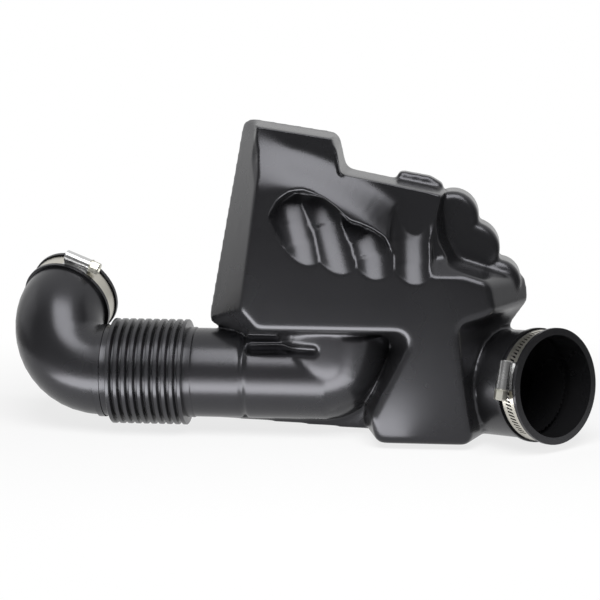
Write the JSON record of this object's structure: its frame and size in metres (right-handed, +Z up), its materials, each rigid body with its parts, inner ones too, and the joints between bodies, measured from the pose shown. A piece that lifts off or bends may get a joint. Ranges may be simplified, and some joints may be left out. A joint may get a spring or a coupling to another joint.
{
  "type": "air intake hose",
  "caption": "Blow-moulded engine air intake duct with a bellows hose, elbow cuff and resonator box, held by worm-drive band clamps at both open ends.",
  "frame": {"origin": "bottom centre of the box around the whole part, standing as in the picture", "axes": "+X along the tube towards the air cleaner end, +Y away from the front panel, +Z up"},
  "size_m": [0.531, 0.1672, 0.2837],
  "materials": {
    "moulded_plastic": "satin charcoal black",
    "band_steel": "rolled stainless strip",
    "housing_steel": "pressed stainless",
    "screw_steel": "plated steel"
  },
  "bodies": {
    "root": {"intake_duct": "moulded_plastic", "throttle_clamp_band": "band_steel", "throttle_clamp_housing": "housing_steel", "throttle_clamp_screw": "screw_steel", "air_cleaner_clamp_band": "band_steel", "air_cleaner_clamp_housing": "housing_steel", "air_cleaner_clamp_screw": "screw_steel"}
  },
  "joints": []
}
